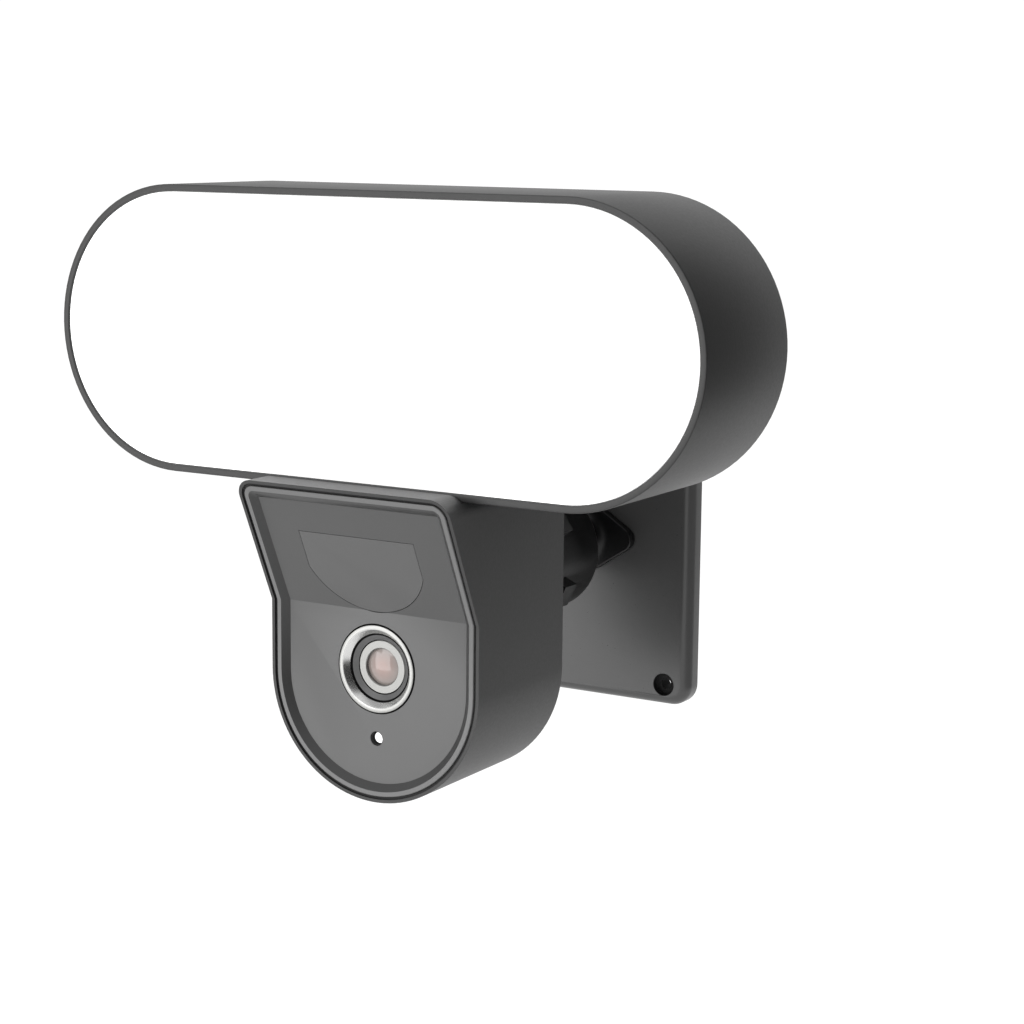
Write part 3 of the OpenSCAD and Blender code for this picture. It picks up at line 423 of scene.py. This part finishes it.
def sweep_lamp(section):
    """Carries a section, given as (distance from the middle line, y), round the lamp's outline."""
    bm = bmesh.new()
    points = [bm.verts.new((LAMP_HALF, y, LAMP_Z + r)) for r, y in section]
    rim = [bm.edges.new(pair) for pair in zip(points, points[1:])]
    for end in (1, -1):
        spun = bmesh.ops.spin(bm, geom=rim, cent=(end * LAMP_HALF, 0, LAMP_Z), axis=(0, 1, 0),
                              angle=pi, steps=HALF_TURN_STEPS, use_merge=False)
        rim = [g for g in spun["geom_last"] if isinstance(g, bmesh.types.BMEdge)]
        run = bmesh.ops.extrude_edge_only(bm, edges=rim)["geom"]
        ends = [g for g in run if isinstance(g, bmesh.types.BMVert)]
        bmesh.ops.translate(bm, verts=ends, vec=(-2 * end * LAMP_HALF, 0, 0))
        rim = [g for g in run if isinstance(g, bmesh.types.BMEdge) and all(v in ends for v in g.verts)]
    bmesh.ops.remove_doubles(bm, verts=bm.verts, dist=0.002 * MM)
    return bm


def from_middle_line(p):
    """How far a point lies from the line that the lamp's outline is drawn round."""
    return Vector((max(abs(p.x) - LAMP_HALF, 0), p.z - LAMP_Z)).length


# %% Lamp housing
RIM_W = 2.4 * MM
BACK_T = 3 * MM
LEDGE_W = 2 * MM
BACK_ROUND_MM = 1.6
RIM_ROUND_MM = 0.45
lamp_front, lamp_back = LAMP[0].y, LAMP[1].y
seal_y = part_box("diffuser_seal")[1].y
inner_r = LAMP_R - RIM_W - LEDGE_W
bm = sweep_lamp([
    (0, lamp_back), (LAMP_R, lamp_back), (LAMP_R, lamp_front), (LAMP_R - RIM_W, lamp_front),
    (LAMP_R - RIM_W, seal_y), (inner_r, seal_y), (inner_r, lamp_back - BACK_T), (0, lamp_back - BACK_T),
])
round_edges(bm, edges_where(bm, lambda p: p.y > lamp_back - 0.01 * MM and
            from_middle_line(p) > LAMP_R - 0.2 * MM), BACK_ROUND_MM, 5)
round_edges(bm, edges_where(bm, lambda p: p.y < lamp_front + 0.01 * MM), RIM_ROUND_MM, 3)
piece("lamp_body", bm, "head", "lamp_housing")

# %% Diffuser
GLOW_T = 2.2 * MM
GLOW_ROUND_MM = 0.5
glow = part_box("lamp_diffuser")
glow_r = (glow[1].z - glow[0].z) / 2
bm = sweep_lamp([
    (0, glow[0].y), (glow_r, glow[0].y), (glow_r, glow[1].y), (inner_r, glow[1].y),
    (inner_r, glow[0].y + GLOW_T), (0, glow[0].y + GLOW_T),
])
round_edges(bm, edges_where(bm, lambda p: p.y < glow[0].y + 0.01 * MM and
            from_middle_line(p) > glow_r - 0.2 * MM), GLOW_ROUND_MM, 3)
piece("opal_diffuser", bm, "head", "lamp_diffuser")

# %% [markdown]
# ## Softened copies of the frame
# Moulded plastic never has a knife edge, because the steel mould is rounded off. These pieces
# have the right shape in the frame and only lack that. A merged copy gets a bevel on each edge
# sharper than 40 degrees, which catches a thin line of light. The window's copy also grows by a
# hundredth, so that the seam round it is as fine as a pressed-in pane leaves.

# %% Shell, plate and joint
FOLD_Z = -5 * MM
WINDOW_CREEP = 0.011
plate = softened("wall_plate_body", "wall_mount", "wall_plate", 0.3)
softened("stud_body", "wall_mount", "ball_stud", 1.0, 4)
softened("arm_body", "head", "socket_arm", 0.4)
softened("collar_body", "collar", "locking_collar", 0.5)
softened("shell_body", "head", "camera_shell", 0.35)
softened("card_door", "head", "card_cover", 0.3)
window = softened("window_pane", "head", "sensor_window", 0.15)
window_middle = (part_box("sensor_window")[0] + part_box("sensor_window")[1]) / 2
window.data.transform(Matrix.Translation(window_middle) @ Matrix.Scale(1 + WINDOW_CREEP, 4)
                      @ Matrix.Translation(-window_middle))
panel = softened("panel_face", "head", "face_panel", 0.12, 2)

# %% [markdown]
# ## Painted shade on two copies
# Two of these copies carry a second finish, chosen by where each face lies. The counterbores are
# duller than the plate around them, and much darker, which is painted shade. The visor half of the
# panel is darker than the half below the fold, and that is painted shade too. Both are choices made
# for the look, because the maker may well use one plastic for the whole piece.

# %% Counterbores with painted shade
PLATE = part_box("wall_plate")
SCREW_GRID = next(m for m in frame["record"]["mounts"] if m["name"] == "wall_screws")["dims"]
HOLE_X, HOLE_Z = SCREW_GRID["spacing_x_mm"] / 2 * MM, SCREW_GRID["spacing_y_mm"] / 2 * MM
SINK_R = 4.3 * MM
# Faces in the counterbores take the black of painted shade.
plate.data.materials.append(counterbore_painted_shade)
for face in plate.data.polygons:
    from_hole = Vector((abs(face.center.x) - HOLE_X, abs(face.center.z) - HOLE_Z)).length
    if from_hole < SINK_R + 0.02 * MM and face.center.y > PLATE[0].y + 0.2 * MM:
        face.material_index = 1
print(sum(f.material_index == 1 for f in plate.data.polygons), "faces in the counterbores")

# %% Visor half with painted shade
# Faces above the fold take the visor half's painted shade.
panel.data.materials.append(visor_painted_shade_abs)
for face in panel.data.polygons:
    if face.center.z > FOLD_Z:
        face.material_index = 1
print(sum(f.material_index == 1 for f in panel.data.polygons), "faces in the visor half")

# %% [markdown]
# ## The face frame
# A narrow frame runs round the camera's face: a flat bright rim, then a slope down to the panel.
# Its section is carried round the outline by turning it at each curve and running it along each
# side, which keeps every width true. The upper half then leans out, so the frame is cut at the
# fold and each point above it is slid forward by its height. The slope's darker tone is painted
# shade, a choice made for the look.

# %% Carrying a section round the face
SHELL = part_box("camera_shell")
FACE_R = SHELL[1].x
FACE_MIDDLE_Z = SHELL[0].z + FACE_R
FACE_TOP = SHELL[1].z
FACE_CORNER = 6.5 * MM
PANEL_IN_MM = 2.2
RING_PROUD_MM = 0.4
FACE_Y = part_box("lens_ring")[0].y - (PANEL_IN_MM - RING_PROUD_MM) * MM
LEAN = atan2(FACE_Y - SHELL[0].y, FACE_TOP - FOLD_Z)


def lean_out(bm):
    """Cuts a piece at the fold and slides what is above it forward."""
    bmesh.ops.bisect_plane(bm, geom=bm.verts[:] + bm.edges[:] + bm.faces[:], dist=0.0001 * MM,
                           plane_co=(0, 0, FOLD_Z), plane_no=(0, 0, 1))
    for v in bm.verts:
        v.co.y -= max(0, v.co.z - FOLD_Z) * tan(LEAN)


def sweep_face(section):
    """Carries a closed section, as (inset, depth) pairs in mm, round the module's outline."""
    bm = bmesh.new()
    points = [bm.verts.new((FACE_R - i * MM, FACE_Y + d * MM, FACE_MIDDLE_Z)) for i, d in section]
    rim = [bm.edges.new(pair) for pair in zip(points, points[1:] + points[:1])]
    side_x, corner_z = FACE_R - FACE_CORNER, FACE_TOP - FACE_CORNER
    turns = [((0, FACE_MIDDLE_Z), pi, 48, (0, corner_z - FACE_MIDDLE_Z)),
             ((-side_x, corner_z), pi / 2, 12, (2 * side_x, 0)),
             ((side_x, corner_z), pi / 2, 12, (0, FACE_MIDDLE_Z - corner_z))]
    for (x, z), angle, steps, (run_x, run_z) in turns:
        spun = bmesh.ops.spin(bm, geom=rim, cent=(x, 0, z), axis=(0, 1, 0), angle=angle,
                              steps=steps, use_merge=False)
        rim = [g for g in spun["geom_last"] if isinstance(g, bmesh.types.BMEdge)]
        run = bmesh.ops.extrude_edge_only(bm, edges=rim)["geom"]
        ends = [g for g in run if isinstance(g, bmesh.types.BMVert)]
        bmesh.ops.translate(bm, verts=ends, vec=(run_x, 0, run_z))
        rim = [g for g in run if isinstance(g, bmesh.types.BMEdge) and all(v in ends for v in g.verts)]
    bmesh.ops.remove_doubles(bm, verts=bm.verts, dist=0.002 * MM)
    bmesh.ops.recalc_face_normals(bm, faces=bm.faces)
    lean_out(bm)
    return bm


# %% Face frame
SLOPE_FROM_MM, SLOPE_TO_MM = 0.3, 1.9
bm = sweep_face([(2.15, 0.2), (2.35, 0), (3.8, 0), (6.2, 2.17), (5.05, 2.17), (5.05, 4.5), (2.15, 4.5)])
# Faces on the slope take its painted shade.
for face in bm.faces:
    middle = face.calc_center_median()
    depth_mm = (middle.y - FACE_Y + max(0, middle.z - FOLD_Z) * tan(LEAN)) / MM
    takes_painted_shade = SLOPE_FROM_MM < depth_mm < SLOPE_TO_MM and face.normal.y < -0.1
    face.material_index = 1 if takes_painted_shade else 0
piece("face_frame", bm, "head", "front_bezel", materials=[bezel_abs, slope_painted_shade_abs])

# %% [markdown]
# ## The lens
# A camera lens sits at the bottom of a stepped funnel that keeps stray light off it. Everything
# here is round, so each piece is half of its section spun a full turn about the lens's axis:
# the bright trim, then the barrel with its pale flat face, then the domed front glass. The trim's
# outer wall and groove are black and the funnel's step dark grey, as painted shade in the seam and
# hollows. The glass is a shallower dome than the frame's, and its crown stands 0.4 mm further out.

# %% Turning a section round an axis
LENS_Z = (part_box("lens_ring")[0].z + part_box("lens_ring")[1].z) / 2
PANEL_Y = FACE_Y + PANEL_IN_MM * MM


def turn(section, x, z, start_y, steps=96):
    """Spins a closed section, as (radius, depth) pairs in mm, a full turn about an axis along Y."""
    bm = bmesh.new()
    points = [bm.verts.new((x + r * MM, start_y + d * MM, z)) for r, d in section]
    rim = [bm.edges.new(pair) for pair in zip(points, points[1:] + points[:1])]
    bmesh.ops.spin(bm, geom=rim, cent=(x, 0, z), axis=(0, 1, 0), angle=2 * pi, steps=steps,
                   use_merge=True)
    bmesh.ops.remove_doubles(bm, verts=bm.verts, dist=0.002 * MM)
    return bm


# %% Lens trim
ring_back = (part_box("lens_ring")[1].y - PANEL_Y) / MM
bm = turn([(14.75, -0.4), (14.93, -0.32), (15, -0.15), (15, 2.3), (16.5, 2.3), (16.5, 3.8), (12.5, 3.8),
           (12.5, ring_back), (10.2, ring_back), (10.2, 3.6), (9.45, 3.3), (11.2, 2.2), (11.2, 3.2),
           (11.9, 3.2), (11.9, 1.7), (13.4, -0.2), (13.6, -0.38), (13.7, -0.4)], 0, LENS_Z, PANEL_Y)
OUTER_WALL_MM, CONE_MM, GROOVE_MM, STEP_MM, FUNNEL_DEPTH_MM = 14.97, 13.6, 11.95, 11.15, 3.7
# The outer wall and the groove take the flat black and the step the dark grey, both painted shade.
for face in bm.faces:
    middle = face.calc_center_median()
    reach_mm = Vector((middle.x, middle.z - LENS_Z)).length / MM
    if reach_mm > OUTER_WALL_MM and middle.y > PANEL_Y - 0.12 * MM:
        face.material_index = 3
    elif reach_mm < CONE_MM and middle.y < PANEL_Y + FUNNEL_DEPTH_MM * MM:
        face.material_index = 1 if reach_mm > GROOVE_MM else 3 if reach_mm > STEP_MM else 2
piece("lens_trim", bm, "head", "lens_ring", materials=[trim_aluminium, cone_aluminium, funnel_step_painted_shade, shade_black])

# %% Lens barrel and glass
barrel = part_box("lens_barrel")
barrel_front, barrel_back = ((v.y - PANEL_Y) / MM for v in barrel)
barrel_r = (barrel[1].x - barrel[0].x) / 2 / MM
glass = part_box("lens_glass")
glass_r = (glass[1].x - glass[0].x) / 2 / MM
CROWN_UP_MM = 0.4
glass_front, glass_back = ((v.y - PANEL_Y) / MM for v in glass)
glass_front -= CROWN_UP_MM
bm = turn([(glass_r, barrel_back), (glass_r, barrel_front + 0.25), (glass_r + 0.25, barrel_front),
           (barrel_r - 0.25, barrel_front), (barrel_r, barrel_front + 0.25), (barrel_r, barrel_back)],
          0, LENS_Z, PANEL_Y)
piece("barrel_turned", bm, "head", "lens_barrel", materials=[barrel_aluminium])

DOME_MM = 20.0
DOME_RINGS = 10
dome_r = [glass_r * k / DOME_RINGS for k in range(DOME_RINGS + 1)]
dome = [(r, glass_front + DOME_MM - (DOME_MM ** 2 - r ** 2) ** 0.5) for r in dome_r]
bm = turn(dome + [(glass_r, glass_back), (0, glass_back)], 0, LENS_Z, PANEL_Y)
piece("front_glass", bm, "head", "lens_glass")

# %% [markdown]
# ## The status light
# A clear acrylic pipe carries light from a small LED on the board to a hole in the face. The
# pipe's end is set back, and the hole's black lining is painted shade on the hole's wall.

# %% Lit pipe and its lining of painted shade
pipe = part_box("light_pipe")
PIPE_Z = (pipe[0].z + pipe[1].z) / 2
pipe_front, pipe_end = ((v.y - PANEL_Y) / MM for v in pipe)
bm = turn([(0, pipe_front), (1.75, pipe_front), (1.9, pipe_front + 0.15), (1.9, pipe_end), (0, pipe_end)],
          0, PIPE_Z, PANEL_Y, 48)
lit = set(bm.faces)
lining = turn([(1.95, 1.9), (2.3, 1.9), (2.3, 0.15), (2.46, 0.15), (2.46, 2.3), (3.5, 2.3),
               (3.5, 3.5), (1.95, 3.5)], 0, PIPE_Z, PANEL_Y, 48)
mesh = bpy.data.meshes.new("lining")
lining.to_mesh(mesh)
lining.free()
bm.from_mesh(mesh)
bpy.data.meshes.remove(mesh)
# The lining takes the flat black of painted shade.
for face in bm.faces:
    face.material_index = 0 if face in lit else 1
piece("status_light", bm, "head", "light_pipe", materials=[lit_pipe, shade_black])

# %% [markdown]
# ## Small parts on the back
# The rubber vent plug and the reset button are turned like the lens. The screws that show have
# round heads with a hexagon socket: a row of circles is bridged one to the next, and the two
# circles of the socket have six sides.

# %% Vent plug and reset button
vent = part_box("vent_plug")
vent_x, vent_z = (vent[0].x + vent[1].x) / 2, (vent[0].z + vent[1].z) / 2
cap_r = (vent[1].x - vent[0].x) / 2 / MM
bm = turn([(0, 0), (cap_r - 2, 0), (cap_r - 1.7, -0.5), (cap_r - 0.6, -0.5), (cap_r, -0.9), (cap_r, -2),
           (4, -2), (4, -5), (0, -5)], vent_x, vent_z, vent[1].y, 64)
piece("vent_cap", bm, "head", "vent_plug")

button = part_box("reset_button")
button_x, button_z = (button[0].x + button[1].x) / 2, (button[0].z + button[1].z) / 2
button_in = (button[0].y - button[1].y) / MM
bm = turn([(0, -0.35), (1.6, -0.25), (2.4, 0), (2.75, -0.1), (3, -0.4), (3, button_in + 1),
           (4, button_in + 1), (4, button_in), (0, button_in)], button_x, button_z, button[1].y, 64)
piece("reset_cap", bm, "reset", "reset_button")

# %% Screws with a hexagon socket
HEX_SHARE = 0.5


def socket_screw(bm, x, z, head_y, tip_y, shank_r, head_r, head_h):
    """Adds a screw along Y to a bmesh. Its head faces the wall, and all sizes are in metres."""
    soft = head_h / 3
    rings = [(shank_r, tip_y, 24), (shank_r, head_y - head_h, 24), (head_r, head_y - head_h, 24),
             (head_r, head_y - soft, 24), (head_r - soft, head_y, 24),
             (head_r * HEX_SHARE, head_y, 6), (head_r * HEX_SHARE, head_y - 0.6 * head_h, 6)]
    loops = []
    for radius, y, sides in rings:
        made = bmesh.ops.create_circle(bm, cap_ends=False, segments=sides, radius=radius,
                                       matrix=Matrix.Translation((x, y, z)) @ Matrix.Rotation(pi / 2, 4, "X"))
        loops.append(list({edge for v in made["verts"] for edge in v.link_edges}))
    for near, far in zip(loops, loops[1:]):
        bmesh.ops.bridge_loops(bm, edges=near + far)
    for end in (loops[0], loops[-1]):
        bmesh.ops.contextual_create(bm, geom=end)


for name, node, body, along, sizes in [
    ("cover_socket_screws", "cover_screws", "head", "z", (1, 1.9, 0.9)),
    ("stud_socket_screws", "stud_screws", "wall_mount", "x", (1.5, 2.6, 1.6)),
]:
    low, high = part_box(node)
    middle = (low + high) / 2
    shank_r, head_r, head_h = (size * MM for size in sizes)
    bm = bmesh.new()
    for end in (getattr(low, along) + head_r, getattr(high, along) - head_r):
        x, z = (middle.x, end) if along == "z" else (end, middle.z)
        socket_screw(bm, x, z, high.y, low.y, shank_r, head_r, head_h)
    piece(name, bm, body, node)

# %% [markdown]
# ## Floor
# A wide plane takes the object's soft shadow. It isn't part of the object.

# %% Floor
floor_white = bare("matt white floor", {"Base Color": linear("#ffffff"), "Roughness": 0.9})[0]
bm = bmesh.new()
bmesh.ops.create_grid(bm, x_segments=1, y_segments=1, size=12.0)
bmesh.ops.translate(bm, verts=bm.verts, vec=(0, 0, FLOOR_Z))
floor_mesh = bpy.data.meshes.new("floor")
bm.to_mesh(floor_mesh)
bm.free()
floor_mesh.materials.append(floor_white)
floor = bpy.data.objects.new("floor", floor_mesh)
bpy.context.scene.collection.objects.link(floor)

# %% [markdown]
# ## The last line
# The view layer is brought up to date at the end.

# %% The last line
bpy.context.view_layer.update()
